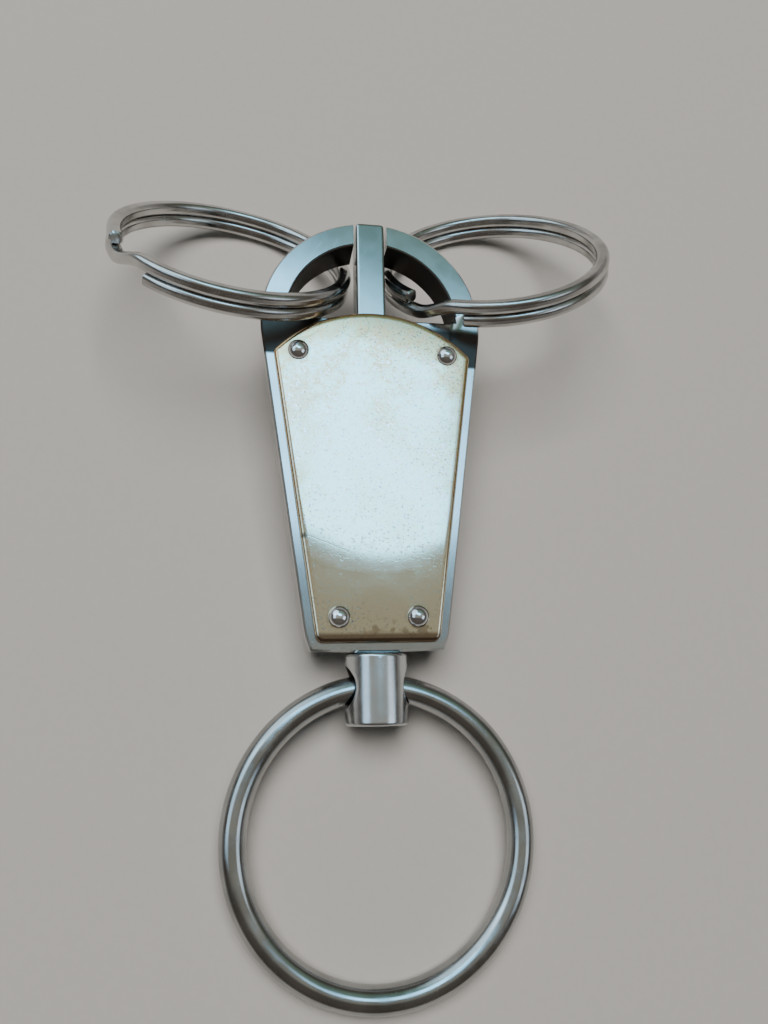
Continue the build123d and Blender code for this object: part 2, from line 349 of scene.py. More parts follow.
# %% The two split rings in their seats
# Each has its centre, its slope, its bank and the angle where its wire steps over.
split_seats = {
    "left": ((-15.8676, 9.2, -3.52235), 40.8984, 9.5, 200.0),
    "right": ((15.783, 10.4, -3.92824), 38.7773, -11.5, 214.0),
}
for side, (centre, slope, bank, step_angle) in split_seats.items():
    sheet = seated(split_ring_sheet(step_angle), centre, slope, bank)
    ring = closed_piece(side + "_split_wire", [sheet])
    stand_in(ring, side + "_split_ring", side + "_ring")
    gap = level_box(side + "_split_ring") - np.array([sheet.min((0, 1)), sheet.max((0, 1))])
    print(side, "differs from its solid's box by", np.abs(gap).max().round(4), "mm")

# %% [markdown]
# ## The front plate
# A thin stamped plate with an arched crown and straight tapered sides. Its
# edge is rolled over and its middle is very slightly pillowed, which bends
# the reflections that a flat sheet would only repeat. Every point of its
# outline is a place on a smaller outline plus the corner radius along the
# outward normal. Moving it along that same normal by less gives the loops of
# the rolled edge, and the innermost loop is then drawn in to a spine.

# %% Plate outline
taper = math.radians(8.2)
arch_radius = 12.55
plate_inset, plate_corner = 1.0, 0.9
crown_radius, crown_rise = 15.0, 0.85
plate_foot = level_box("front_plate")[0][1]
plate_thickness = 0.8


def plate_outline(samples):
    """Base points and outward normals, once round from the middle of the foot."""
    inner = plate_inset + plate_corner
    slope = math.tan(taper)
    centre_y = crown_rise - crown_radius
    level_width = (arch_radius - inner) / math.cos(taper) + centre_y * slope
    radius = crown_radius - plate_corner
    root = math.sqrt((radius * math.hypot(1, slope)) ** 2 - level_width**2)
    rise = (root - level_width * slope) / (1 + slope**2)
    shoulder = np.array([level_width + slope * rise, centre_y + rise])
    toe_y = plate_foot + plate_corner
    toe = np.array([(arch_radius - inner) / math.cos(taper) + toe_y * slope, toe_y])
    crown_from = math.atan2(rise, shoulder[0])
    t = np.linspace(0, 1, samples)[:, None]
    still = np.zeros_like(t)
    angles = [still - np.pi / 2, -np.pi / 2 + t * (np.pi / 2 - taper), still - taper]
    places = [toe * [0, 1] * (1 - t) + toe * t, toe + 0 * t, toe * (1 - t) + shoulder * t]
    angles.append(-taper + t * (crown_from + taper))
    places.append(shoulder + 0 * t)
    crown = crown_from + t * (np.pi / 2 - crown_from)
    angles.append(crown)
    places.append([0, centre_y] + radius * np.concatenate([np.cos(crown), np.sin(crown)], axis=1))
    angle, place = np.concatenate(angles), np.concatenate(places)
    normal = np.concatenate([np.cos(angle), np.sin(angle)], axis=1)
    mirror = np.array([-1, 1])
    outline = np.concatenate([place, place[::-1] * mirror])
    return outline, np.concatenate([normal, normal[::-1] * mirror])


# %% Plate surface
outline_samples, roll_steps, top_steps = 28, 9, 40
spine_low, spine_high = plate_foot + 7, -7


def plate_sheet(roll_reach, roll_drop, pillow):
    """Underside, wall, quarter-ellipse roll, then a top that rises by pillow (1 - (1 - s)^2)."""
    base, normal = plate_outline(outline_samples)
    quarter = np.linspace(0, np.pi / 2, roll_steps)
    inset = np.concatenate([[0, 0], roll_reach * (1 - np.cos(quarter))[1:]])
    height = np.concatenate([[0, plate_thickness - roll_drop],
                             plate_thickness - roll_drop * (1 - np.sin(quarter))[1:]])
    loops = base + (plate_corner - inset[:, None, None]) * normal
    heights = np.broadcast_to(height[:, None, None], loops.shape[:2] + (1,))
    rim = np.concatenate([loops, heights], axis=-1)
    last = rim[-1]
    spine = np.stack([0 * last[:, 0], np.clip(last[:, 1], spine_low, spine_high)], axis=1)
    s = np.linspace(0, 1, top_steps)[1:, None, None]
    flat = last[:, :2] * (1 - s) + spine * s
    lift = plate_thickness + pillow * (1 - (1 - s) ** 2)
    top = np.concatenate([flat, np.broadcast_to(lift, flat.shape[:2] + (1,))], axis=-1)
    foot = rim[0] * [1, 1, 0]
    under = np.concatenate([spine, np.zeros((len(spine), 1))], axis=1)
    return np.concatenate([[under, foot], rim[1:], top])


plate_points = plate_sheet(roll_reach=0.55, roll_drop=0.42, pillow=0.07)
flat_points = plate_points.reshape(-1, 3)
print("plate sheet", plate_points.shape[0], "loops of", plate_points.shape[1], "points")

# %% Distances that the plate's finish reads
rivets = ("upper_left", "upper_right", "lower_left", "lower_right")
rivet_axes = {}
for name in rivets:
    low, high = level_box("rivet_" + name)
    rivet_axes[name] = (low[:2] + high[:2]) / 2
    print("rivet", name, rivet_axes[name].round(3))
flat_x, flat_y = flat_points[:, 0], flat_points[:, 1]
to_rivet = np.min([np.hypot(flat_x - axis[0], flat_y - axis[1])
                   for axis in rivet_axes.values()], axis=0)
half_here = (arch_radius - plate_inset) / math.cos(taper) + flat_y * math.tan(taper)
to_side = (half_here - np.abs(flat_x)) * math.cos(taper)
to_foot = flat_y - plate_foot
to_crown = crown_radius - np.hypot(flat_x, flat_y - crown_rise + crown_radius)
to_edge = np.min([to_side, to_foot, to_crown], axis=0)
plate_marks = {"level_mm": flat_points, "edge_mm": to_edge, "rivet_mm": to_rivet}
plate = closed_piece("plate_skin", [plate_points], 50.0, plate_marks)
stand_in(plate, "front_plate", "body")

# %% [markdown]
# ## The rivets
# Each has a bright domed head on the plate and a plain shank that ends flush
# with the body's back. The shape is a profile turned about its axis: up the
# shank, out under the head, up a low rim and over the dome.

# %% Rivets
def turned_sheet(profile, centre, steps):
    """A profile of radii and heights turned about a level axis along Z."""
    a = np.linspace(0, 2 * np.pi, steps)[None, :]
    radius, height = profile[:, :1], profile[:, 1:]
    x = centre[0] + radius * np.cos(a)
    y = centre[1] + radius * np.sin(a)
    return np.stack([x, y, height + 0 * a], axis=-1)


head_radius, head_rise, rim_rise = 1.15, 0.8, 0.1
shank_radius, shank_bevel, body_depth = 0.7, 0.1, 4.6
head_seat = plate_thickness - 0.02    # a hair into the plate, so no light gets under
cap_steps, rivet_steps = 22, 65
cap_rise = head_rise - rim_rise
cap_radius = (head_radius**2 + cap_rise**2) / (2 * cap_rise)
opening = np.linspace(math.asin(head_radius / cap_radius), 0, cap_steps)
cap = np.stack([cap_radius * np.sin(opening),
                plate_thickness + head_rise - cap_radius * (1 - np.cos(opening))], axis=1)
shank = [(0, -body_depth), (shank_radius - shank_bevel, -body_depth),
         (shank_radius, -body_depth + shank_bevel),
         (shank_radius, head_seat), (head_radius, head_seat)]
rivet_profile = np.concatenate([shank, cap])
for name in rivets:
    rivet_sheet = turned_sheet(rivet_profile, rivet_axes[name], rivet_steps)
    piece = closed_piece("rivet_skin_" + name, [rivet_sheet])
    stand_in(piece, "rivet_" + name, "body")

# %% [markdown]
# ## The gate bar
# A square bar closes the slot at the top of the arch. It is the same rounded
# profile as before, carried straight along the body's middle line. At its
# crown each point goes on until it reaches the arch's own curve, and the last
# few rows draw in by a quarter circle, so the end's edge is rounded too.

# %% Gate bar
bar_width, bar_depth, bar_round, crown_reach = 3.3, 3.7, 0.3, 12.65
bar_hold = bar_round + 0.05    # a row just past the rounding keeps the long flats even
tail_run = 8.0
bar_samples, draw_steps = 8, 7
bar_low, bar_high = level_box("gate_bar")


def bar_sheet():
    """Rows of the profile: pole, drawn-in tail, hold, straight run, hold, crown, pole."""
    full = rounded_profile(bar_width, bar_depth, bar_round, bar_samples)
    quarter = np.linspace(0, np.pi / 2, draw_steps)
    drawn, step = bar_round * (1 - np.sin(quarter)), bar_round * (1 - np.cos(quarter))
    inset = np.concatenate([[bar_round], drawn, [0, 0, 0], drawn[::-1], [bar_round]])
    size = 1 - 2 * inset[:, None, None] / np.array([bar_width, bar_depth])
    size[[0, -1]] = 0
    x, z = np.moveaxis(full * size, -1, 0)
    from_tail = np.concatenate([[0], step, [bar_hold, tail_run]])[:, None]
    from_crown = np.concatenate([[bar_hold], step[::-1], [0]])[:, None]
    tail_rows = len(from_tail)
    crown = np.sqrt(crown_reach**2 - x[tail_rows:] ** 2)
    y = np.concatenate([bar_low[1] + from_tail + 0 * x[:tail_rows], crown - from_crown])
    return np.stack([x, y, z + (bar_low[2] + bar_high[2]) / 2], axis=-1)


bar = closed_piece("gate_bar_skin", [bar_sheet()], 50.0)
stand_in(bar, "gate_bar", "gate")

# %% [markdown]
# ## The eye barrel
# The pull ring passes through a cross eye drilled in a turned barrel. Its
# skin is made in patches. On each side, a loop round the eye's mouth is drawn
# out to the four edges of that half of the barrel, all measured as angle and
# height, so every point stays on the cylinder. A short curve rounds the mouth
# over into the eye, and rounded ends close the top and the bottom.

# %% Barrel sizes
# The eye's mouth is worn wider and deeper on the left, side -1, than on the right.
barrel_radius, eye_radius, barrel_round, eye_drop = 3.35, 2.05, 0.35, 3.4
mouth_reach, mouth_depth = {1: 0.16, -1: 0.5}, {1: 0.25, -1: 0.55}
barrel_low, barrel_high = level_box("eye_barrel")
barrel_z = (barrel_low[2] + barrel_high[2]) / 2
eye_y = barrel_high[1] - eye_drop
edge_low, edge_high = barrel_low[1] + barrel_round, barrel_high[1] - barrel_round
per_edge, lip_steps, wall_steps, end_steps = 24, 7, 17, 6
print("eye's axis at level y", eye_y.round(3), "z", barrel_z.round(3))


# %% Eye barrel
def barrel_half(side):
    """Eye wall, rounded mouth, then mouth loop to border loop in (angle, height)."""
    t = np.linspace(-np.pi / 4, 7 * np.pi / 4, 4 * per_edge + 1)
    s = np.linspace(0, 1, per_edge + 1)[:-1]
    one = np.ones_like(s)
    angle = np.concatenate([one, 1 - 2 * s, -one, 2 * s - 1, [1]]) * np.pi / 2
    height = np.concatenate([s, one, 1 - s, 0 * s, [0]]) * (edge_high - edge_low) + edge_low
    mouth = eye_radius + mouth_reach[side]
    lip_x = np.sqrt(barrel_radius**2 - (eye_radius * np.cos(t)) ** 2)
    mouth_x = np.sqrt(barrel_radius**2 - (mouth * np.cos(t)) ** 2)
    k = np.linspace(0, 1, lip_steps)[:, None]
    x = (1 - k) ** 2 * (lip_x - mouth_depth[side]) + 2 * k * (1 - k) * lip_x + k**2 * mouth_x
    rho = eye_radius + k**2 * mouth_reach[side]
    x = np.concatenate([[0 * t], x])
    rho = np.concatenate([[[eye_radius]], rho])
    inner = np.stack([x, eye_y + rho * np.sin(t), rho * np.cos(t)], axis=-1)
    w = np.linspace(0, 1, wall_steps)[1:, None]
    a = np.arcsin(mouth * np.cos(t) / barrel_radius) * (1 - w) + angle * w
    y = (eye_y + mouth * np.sin(t)) * (1 - w) + height * w
    outer = np.stack([barrel_radius * np.cos(a), y, barrel_radius * np.sin(a)], axis=-1)
    return np.concatenate([inner, outer]) * [side, 1, 1] + [0, 0, barrel_z]


def barrel_end(edge_y, way):
    """A quarter-round edge and a flat end, drawn in to the middle."""
    b = np.linspace(0, 2 * np.pi, 4 * per_edge + 1)[None, ::2]
    q = np.linspace(0, np.pi / 2, end_steps)
    radius = np.concatenate([barrel_radius - barrel_round * (1 - np.cos(q)), [0]])
    y = np.concatenate([edge_y + way * barrel_round * np.sin(q), [edge_y + way * barrel_round]])
    radius, y = radius[:, None], y[:, None]
    return np.stack([radius * np.sin(b), y + 0 * b, radius * np.cos(b) + barrel_z], axis=-1)


barrel_sheets = [barrel_half(1), barrel_half(-1),
                 barrel_end(edge_high, 1), barrel_end(edge_low, -1)]
barrel = closed_piece("eye_barrel_skin", barrel_sheets, 50.0)
stand_in(barrel, "eye_barrel", "gate")

# %% [markdown]
# ## The body, rod, spring and bush
# These solids already have the right shape, and only their shading is
# faceted, because a imported mesh is loose triangles. A copy is enough here:
# its triangles are joined, and it is shaded smooth except across creases.
# For the spring, the share of its length that would be left when the gate bar is drawn down is
# worked out, with the foot of its coils, and it is given a mesh of its own.

# %% Smooth copies
def smooth_copy(node, body, crease, flat=0.4):
    """A copy of a solid's mesh, joined up and shaded smooth but for its creases."""
    piece = bpy.data.objects.new(node + "_skin", nodes[node].data.copy())
    bpy.context.scene.collection.objects.link(piece)
    join_and_smooth(piece, crease, flat)
    return stand_in(piece, node, body)


body = smooth_copy("body_frame", "body", 25.0)
rod = smooth_copy("pull_rod", "gate", 30.0)
bush = smooth_copy("end_bush", "body", 30.0)
spring = smooth_copy("return_spring", "body", 40.0, flat=None)

# %% Spring's length and travel
gate_travel = 6.0
coils_low, coils_high = level_box("return_spring")
coils_length = coils_high[1] - coils_low[1]
shortened = float((coils_length - gate_travel) / coils_length)
foot_of_coils = to_model((0.0, coils_low[1], (coils_low[2] + coils_high[2]) / 2)).tolist()
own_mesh(spring)
print("spring", round(float(coils_length), 2), "mm long, keeps", round(shortened, 3))

# %% [markdown]
# ## Writing shaders as sums
# A material is a network of nodes, and most of it is arithmetic. `Wire`
# stands for one output in the network and knows + - * and /, so a formula in
# Python becomes Math nodes. `Finish` holds one network, and its method `node`
# adds any other node: its type, its settings, and its inputs.

# %% Wires and finishes
class Wire:
    """An output of a shader node that can be added, subtracted, multiplied and divided."""

    def __init__(self, finish, socket):
        self.finish = finish
        self.socket = socket

    def maths(self, operation, first, second):
        return self.finish.node("Math", {"operation": operation}, {0: first, 1: second})

    def __add__(self, other):
        return self.maths("ADD", self, other)

    def __sub__(self, other):
        return self.maths("SUBTRACT", self, other)

    def __rsub__(self, other):
        return self.maths("SUBTRACT", other, self)

    def __mul__(self, other):
        return self.maths("MULTIPLY", self, other)

    def __truediv__(self, other):
        return self.maths("DIVIDE", self, other)

    __radd__ = __add__
    __rmul__ = __mul__


class Finish:
    """A node network being built: a metal, the floor's paint or the room."""

    def __init__(self, holder):
        self.holder = holder
        holder.use_nodes = True
        self.tree = holder.node_tree

    def node(self, kind, settings=None, sockets=None, out=0):
        """Add a node with its settings and its inputs, and give back one output."""
        made = self.tree.nodes.new("ShaderNode" + kind)
        for setting, value in (settings or {}).items():
            setattr(made, setting, value)
        for name, value in (sockets or {}).items():
            self.feed(made.inputs[name], value)
        return Wire(self, made.outputs[out])

    def feed(self, socket, value):
        """Link a wire to an input, or write a plain value in it."""
        if isinstance(value, Wire):
            self.tree.links.new(value.socket, socket)
        else:
            socket.default_value = value

    def shader(self, **sockets):
        """Fill the metal's own inputs, with _ for each blank in their names."""
        surface = next(n for n in self.tree.nodes if n.type == "BSDF_PRINCIPLED")
        for name, value in sockets.items():
            self.feed(surface.inputs[name.replace("_", " ")], value)


# %% Small helpers for finishes
def blend(finish, share, first, second):
    """First colour where share is 0, second where it is 1."""
    first = first if isinstance(first, Wire) else (*first, 1.0)
    second = second if isinstance(second, Wire) else (*second, 1.0)
    sockets = {0: share, 6: first, 7: second}
    return finish.node("Mix", {"data_type": "RGBA"}, sockets, out=2)


def step_up(finish, value, low, high):
    """0 at low, 1 at high, and a smooth rise between: a fall, where low is the larger."""
    settings = {"interpolation_type": "SMOOTHSTEP"}
    sockets = {"Value": value, "From Min": low, "From Max": high}
    return finish.node("MapRange", settings, sockets)


def stretched(finish, place, scale):
    """A place with each of its axes multiplied."""
    return finish.node("VectorMath", {"operation": "MULTIPLY"}, {0: place, 1: scale})


def cloud(finish, place, scale, detail=2.0):
    """Soft noise between 0 and 1, finer where scale is larger."""
    sockets = {"Vector": place, "Scale": scale, "Detail": detail}
    return finish.node("TexNoise", {}, sockets)


def parts_of(finish, place):
    """The x, y and z of a place."""
    return [finish.node("SeparateXYZ", {}, {0: place}, out=axis) for axis in "XYZ"]


def across(finish, place, middle, keep):
    """Distance from a line: the place less a point, only the kept axes, its length."""
    away = finish.node("VectorMath", {"operation": "SUBTRACT"}, {0: place, 1: middle})
    kept = stretched(finish, away, keep)
    return finish.node("VectorMath", {"operation": "LENGTH"}, {0: kept}, out="Value")


def level_place(finish):
    """Object coordinates as level millimetres, so patterns follow the body's own axes."""
    place = finish.node("TexCoord", {}, {}, out="Object")
    sockets = {"Vector": place, "Location": to_level(np.zeros(3)),
               "Rotation": (-lean, 0, 0), "Scale": (mm_in_metre,) * 3}
    return finish.node("Mapping", {"vector_type": "POINT"}, sockets)


print("helpers: blend, step up, stretched, cloud, parts of, across, level place")

# %% [markdown]
# ## Steel finishes
# Used steel is never one even mirror. Handling leaves soft clouds of tone and
# shine, drawing or turning leaves fine lines along one direction, pockets
# leave short scratches, and time leaves a few dark specks. One recipe makes
# all the steels, and the numbers say how much of each there is. The fine
# lines are noise on squeezed coordinates: a small number in the stretch
# makes the pattern long in that direction.

# %% Steel recipe
# The second tone is the near-black brown that painted shade darkens a steel towards.
speck_tone, painted_shade_tone = (0.10, 0.08, 0.06), (0.045, 0.032, 0.024)
relief_depth = 0.00002


def worn_steel(name, light, dark, shine, grain=(6, 0.3, 6), grain_depth=0.3,
               scratches=0.5, specks=0.4, painted_shade=None):
    """Shine is the roughness of its brightest and dullest places.

    Painted shade, where given, works out from the level place how much a point is painted dark in
    place of shade.
    """
    finish = Finish(bpy.data.materials.new(name))
    place = level_place(finish)
    clouds = cloud(finish, place, 0.22, 3.0)
    smudges = step_up(finish, cloud(finish, place, 0.5, 4.0), 0.35, 0.7)
    lines = cloud(finish, stretched(finish, place, grain), 1.0, 2.0)
    cross = finish.node("Mapping", {}, {"Vector": place, "Rotation": (0.3, 0.4, 0.6)})
    streaks = cloud(finish, stretched(finish, cross, (9, 0.35, 0.35)), 1.0, 1.0)
    scratch = step_up(finish, streaks, 0.66, 0.72) * scratches
    dots = step_up(finish, cloud(finish, place, 3.2, 1.0), 0.74, 0.79) * specks
    tone = blend(finish, step_up(finish, clouds, 0.35, 0.68), light, dark)
    tone = blend(finish, dots, tone, speck_tone)
    low, high = shine
    rough = low + smudges * (high - low) + scratch * 0.12 + dots * 0.3
    # Painted shade: where a mask is given, the tone is blended towards a near-black brown that
    # stands in for shadow, and the roughness rises there.
    if painted_shade:
        shade_mask = painted_shade(finish, place)
        tone = blend(finish, shade_mask * 0.95, tone, painted_shade_tone)
        rough = rough + shade_mask * 0.3
    relief = lines * grain_depth - scratch - dots
    sockets = {"Strength": 0.25, "Distance": relief_depth, "Height": relief}
    bump = finish.node("Bump", {}, sockets)
    finish.shader(Base_Color=tone, Metallic=1.0, Roughness=rough, Normal=bump)
    return finish.holder


# %% Where shade is painted on the steel
def frame_painted_shade(finish, place):
    """Painted shade: the window's inner wall, and the shoulders that the split rings lie over.

    The wall is inside the arch's inner radius and above the window's floor, painted dark for the
    shade and dark reflection inside the window.
    The band of painted shadow from the split rings runs across the front of both shoulders, a
    little lower on the right.
    Towards the foot the front is painted a little darker.
    """
    x, y, z = parts_of(finish, place)
    from_centre = across(finish, place, (0, 0, 0), (1, 1, 0))
    # Painted shade: the window's inner wall is painted dark for its shade and dark reflection.
    inside = step_up(finish, from_centre, 9.95, 9.85)
    height = y + x * 0.04
    # Painted shadow: a dark band across the shoulders, where the split rings lie over them and keep
    # the light off.
    front_darkening = step_up(finish, height, -4.85, -4.45) * step_up(finish, height, 0.5, -0.6)
    # The front is painted a little darker towards the foot, above its rim.
    darker_to_foot = step_up(finish, y, -22, -31) * 0.25 * step_up(finish, y, -36.4, -35.4)
    front_darkening = (front_darkening + darker_to_foot) * step_up(finish, z, -0.5, -0.2)
    return front_darkening.maths("MAXIMUM", inside * step_up(finish, y, 0.25, 0.4), front_darkening)


def eye_painted_shade(finish, place):
    """Painted shade in the eye's wall, which is nearer to its axis than the barrel's own skin can
    be.
    """
    from_axis = across(finish, place, (0, eye_y, barrel_z), (0, 1, 1))
    return step_up(finish, from_axis, 2.3, 2.1)


# Shade is painted on the shoulders under the split rings, on the window's inner wall and in the
# eye.
print("grime on the shoulders and in the window, and in the eye")

# %% The steels
finishes = {
    "frame_steel": worn_steel("frame_steel", (0.52, 0.53, 0.52), (0.47, 0.48, 0.47), (0.11, 0.13),
                              grain_depth=0.08, scratches=0.2, painted_shade=frame_painted_shade),
    "gate_steel": worn_steel("gate_steel", (0.40, 0.41, 0.39), (0.36, 0.37, 0.35), (0.13, 0.15),
                             grain_depth=0.08, scratches=0.2),
    "rod_steel": worn_steel("rod_steel", (0.60, 0.60, 0.60), (0.48, 0.48, 0.48), (0.2, 0.3)),
    "bush_steel": worn_steel("bush_steel", (0.55, 0.55, 0.55), (0.42, 0.42, 0.42), (0.25, 0.35)),
    "spring_steel": worn_steel("spring_steel", (0.48, 0.48, 0.50), (0.34, 0.34, 0.36), (0.2, 0.3)),
    "barrel_steel": worn_steel("barrel_steel", (0.67, 0.68, 0.68), (0.58, 0.59, 0.59), (0.17, 0.25),
                               grain=(0.3, 9, 0.3), grain_depth=0.6,
                               scratches=0.2, painted_shade=eye_painted_shade),
    "ring_steel": worn_steel("ring_steel", (0.47, 0.47, 0.46), (0.36, 0.36, 0.35), (0.14, 0.24),
                             grain=(1.5, 1.5, 1.5), scratches=0.12),
    "split_ring_steel": worn_steel("split_ring_steel", (0.61, 0.60, 0.58), (0.45, 0.43, 0.41),
                                   (0.16, 0.27), grain=(1.5, 1.5, 1.5), scratches=0.1),
    "rivet_steel": worn_steel("rivet_steel", (0.80, 0.81, 0.82), (0.68, 0.69, 0.70), (0.06, 0.12),
                              grain=(3, 3, 3), specks=0.2),
}
print(len(finishes), "steels")

# %% [markdown]
# ## The plate's finish
# The plate is a pale champagne metal with a soft sheen and years of light
# tarnish. The marks kept on its mesh say how far each point is from the edge
# and from the nearest rivet, so the browning at the rolled edge, the painted
# dark reflection along the foot's roll, and the dark round the rivets, partly
# a stain and partly a painted contact shadow, follow the piece itself.

# %% Marks on the plate
def spot(finish, place, middle, radius, soft):
    """1 within a radius of a point of the plate, fading out over a soft rim."""
    distance = across(finish, place, (*middle, 0), (1, 1, 0))
    return step_up(finish, distance, radius + soft, radius)


def dried_drop(finish, place, waver, middle, radius):
    """The thin line a drop leaves as it dries: near one wavering distance from its middle."""
    distance = across(finish, place, (*middle, 0), (1, 1, 0)) + waver * 1.6
    inner = step_up(finish, distance, radius + 0.7, radius + 0.8)
    outer = step_up(finish, distance, radius + 1.0, radius + 0.8)
    return inner * outer


def hair_scratch(finish, place, waver, start, slope, length):
    """A thin line from a point: close to y = start + slope (x - start), for a length in x."""
    x, y, _ = parts_of(finish, place)
    off = y - start[1] - (x - start[0]) * slope + waver * 0.5 - 0.25
    thin = step_up(finish, off.maths("ABSOLUTE", off, 0.0), 0.09, 0.02)
    end = start[0] + length
    begun = step_up(finish, x, start[0] - 0.1, start[0])
    return thin * begun * step_up(finish, x, end, end - 1.5)


print("marks: spot, dried drop, hair scratch")


# %% Tones of the plate
pale_green, pale_gold, silver, ivory = (
    (0.80, 0.87, 0.72), (0.80, 0.81, 0.60), (0.95, 0.95, 0.92), (0.93, 0.92, 0.78))
amber, copper, tan_tone, olive = (
    (0.76, 0.50, 0.26), (0.76, 0.46, 0.24), (0.88, 0.44, 0.21), (0.52, 0.44, 0.32))
# The last tone is the dark brown painted along the foot's roll for the dark it reflects.
drop_tone, edge_tone, foot_reflection_tone = (0.36, 0.27, 0.12), (0.66, 0.53, 0.30), (0.16, 0.09, 0.06)
# The first tone is the brown of the rivets' stain and painted contact shadow.
rivet_shade_stain_tone, blot_tone, pit_tone = (0.42, 0.31, 0.18), (0.26, 0.19, 0.12), (0.14, 0.10, 0.07)


# %% Plate finish
def champagne_plate():
    """Pale metal, with each layer of tarnish, rivet stain and painted contact shadow, blot, painted
    foot reflection and scratch laid over the last.
    """
    finish = Finish(bpy.data.materials.new("plate_metal"))
    place = finish.node("Attribute", {"attribute_name": "level_mm"}, {}, out="Vector")
    edge = finish.node("Attribute", {"attribute_name": "edge_mm"}, {}, out="Fac")
    rivet = finish.node("Attribute", {"attribute_name": "rivet_mm"}, {}, out="Fac")
    x, y, _ = parts_of(finish, place)
    wide = cloud(finish, place, 0.16, 4.0)
    waver = cloud(finish, place, 0.45, 3.0)
    mottle = cloud(finish, place, 1.1, 5.0)
    fine = cloud(finish, place, 4.2, 3.0)
    tone = blend(finish, step_up(finish, wide, 0.35, 0.65), pale_green, pale_gold)
    crown = step_up(finish, y + x * 0.25, -13, 0)
    tarnish = step_up(finish, waver * 3.6 - edge * 0.6 + crown * 2.2, 0.9, 2.6)
    upper = 0.35 + step_up(finish, y, -34, -24) * 0.65
    tone = blend(finish, tarnish * upper * 0.9, tone, amber)
    patches = step_up(finish, mottle * 0.8 + fine * 0.3, 0.57, 0.66)
    tone = blend(finish, patches * 0.75, tone, copper)
    tone = blend(finish, step_up(finish, fine, 0.50, 0.60) * 0.35, tone, olive)
    tan = step_up(finish, mottle * 0.6 + wide * 0.5 - x * 0.008, 0.50, 0.63)
    tan = tan * step_up(finish, y, -23, -5)
    tone = blend(finish, tan * 0.8, tone, tan_tone)
    grain = step_up(finish, mottle * 0.5 + fine * 0.6, 0.55, 0.68)
    grain = grain * step_up(finish, y, -30, -22)
    tone = blend(finish, grain * (1 - tarnish * 0.85), tone, silver)
    drops = dried_drop(finish, place, waver, (-1.9, -0.9), 1.35)
    drops = drops + dried_drop(finish, place, waver, (-8.9, 0.6), 3.4)
    tone = blend(finish, drops * 0.45, tone, drop_tone)
    below = step_up(finish, y, -24, -29)
    tone = blend(finish, below * 0.7, tone, ivory)
    browning = step_up(finish, 0.75 - edge + mottle * 0.4, 0.3, 0.9)
    tone = blend(finish, browning * 0.5, tone, edge_tone)
    # Painted reflection: a dark brown band along the foot's rolled edge stands in for the dark that
    # the roll reflects.
    foot = step_up(finish, 0.62 - edge, 0.0, 0.45)
    foot = foot * step_up(finish, y, plate_foot + 1.2, plate_foot + 0.7)
    tone = blend(finish, foot * 0.8, tone, foot_reflection_tone)
    # Partly a stain and partly painted contact shadow: a brown ring round each rivet.
    rivet_shade_and_stain = step_up(finish, 1.75 - rivet + mottle * 0.9, 0.55, 1.1)
    tone = blend(finish, rivet_shade_and_stain * 0.4, tone, rivet_shade_stain_tone)
    blots = step_up(finish, waver * 0.5 + mottle * 0.6, 0.57, 0.66)
    blots = blots * step_up(finish, y, -33.2, -34.6)
    tone = blend(finish, blots * 0.55, tone, blot_tone)
    nick = spot(finish, place, (-7.72, -24.85), 0.12, 0.35)
    hair = hair_scratch(finish, place, waver, (-7.4, -24.9), -0.38, 5.0)
    dots = step_up(finish, fine, 0.64, 0.70) + step_up(finish, mottle, 0.72, 0.77)
    pits = step_up(finish, cloud(finish, place, 3.4, 1.0), 0.60, 0.68)
    pits = pits * step_up(finish, wide + mottle * 0.3, 0.60, 0.72)
    dark = dots * 0.6 + nick * 0.9 + hair * 0.4 + pits * 0.4
    tone = blend(finish, dark, tone, pit_tone)
    rough = 0.05 + mottle * 0.03 + grain * 0.02 + tarnish * 0.03 + rivet_shade_and_stain * 0.05 + dark * 0.2
    relief = fine * 0.12 + mottle * 0.25 - dark * 0.6
    sockets = {"Strength": 0.13, "Distance": relief_depth, "Height": relief}
    bump = finish.node("Bump", {}, sockets)
    finish.shader(Base_Color=tone, Metallic=1.0, Roughness=rough, Normal=bump)
    return finish.holder


finishes["plate_metal"] = champagne_plate()
print("plate finish of", len(finishes["plate_metal"].node_tree.nodes), "nodes")

# %% [markdown]
# ## Dressing the pieces
# Each piece takes the finish of its slot. The solids that stay hidden behind
# a piece take theirs too, so nothing is left bare.

# %% Dress the pieces
slot_of = {part["node"]: part["material_slot"] for part in frame["record"]["subparts"]}
for name, node in nodes.items():
    node.data.materials.clear()
    node.data.materials.append(finishes[slot_of[name]])
dressed = {
    large_ring: "ring_steel", plate: "plate_metal", bar: "gate_steel", barrel: "barrel_steel",
    body: "frame_steel", rod: "rod_steel", bush: "bush_steel", spring: "spring_steel",
}
for piece in bpy.data.objects:
    if piece.name.startswith("rivet_skin"):
        dressed[piece] = "rivet_steel"
    if piece.name.endswith("split_wire"):
        dressed[piece] = "split_ring_steel"
for piece, slot in dressed.items():
    piece.data.materials.clear()
    piece.data.materials.append(finishes[slot])
print(len(dressed), "pieces dressed")

# %% [markdown]
# ## Floor paint
# The floor is plain matt paint in a warm pale grey. The steel mirrors it, so
# a little speckle keeps even that reflection from looking like plastic.

# %% Floor paint
paint = Finish(bpy.data.materials.new("floor_paint"))
speckle = cloud(paint, paint.node("TexCoord", {}, {}, out="Object"), 900.0, 2.0)
grey = blend(paint, speckle, (0.68, 0.65, 0.61), (0.72, 0.69, 0.65))
paint.shader(Base_Color=grey, Roughness=0.85)
floor.data.materials.append(paint.holder)
print("floor has", floor.data.materials[0].name)

